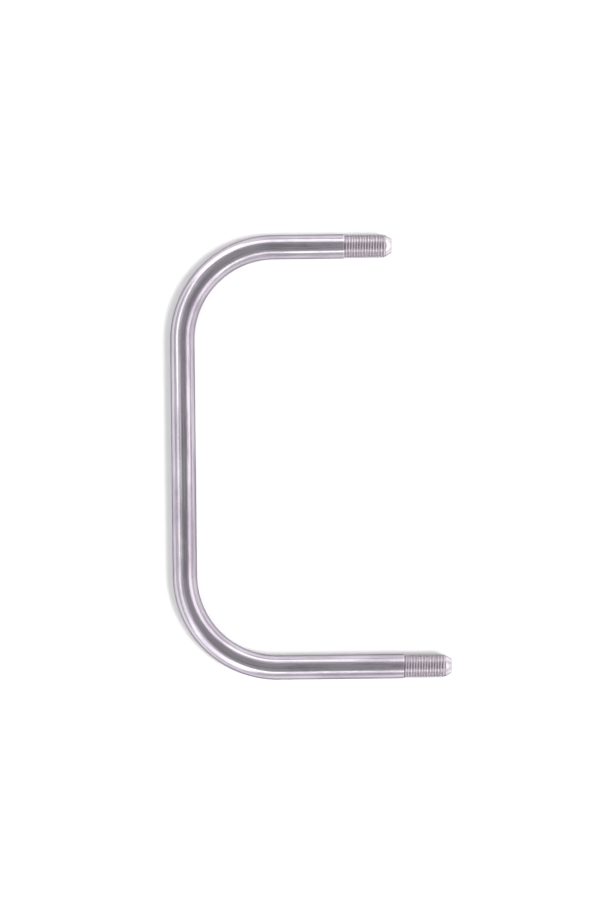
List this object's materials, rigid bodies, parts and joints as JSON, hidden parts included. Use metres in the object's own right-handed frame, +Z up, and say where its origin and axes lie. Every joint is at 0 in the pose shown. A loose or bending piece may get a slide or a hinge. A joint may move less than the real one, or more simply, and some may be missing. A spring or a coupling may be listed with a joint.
{
  "type": "high-pressure u-tube",
  "caption": "U-shaped length of high-pressure steel tube with unequal legs, each ending in a fine left-hand thread and a sealing cone.",
  "frame": {"origin": "on the surface that the tube lies on, below the middle of its overall length and width", "axes": "+Z up, away from that surface; the bar runs along Y; both legs point to +X, and the short leg is at +Y"},
  "size_m": [0.1094, 0.175, 0.0095],
  "materials": {
    "drawn_tube": "cold drawn stainless steel, satin, with fine draw lines along its length",
    "turned_ends": "freshly turned stainless steel, brighter than the tube, with fine rings from the tool"
  },
  "bodies": {
    "root": {"bent_tube": "drawn_tube", "short_end": "turned_ends", "long_end": "turned_ends"}
  },
  "joints": []
}
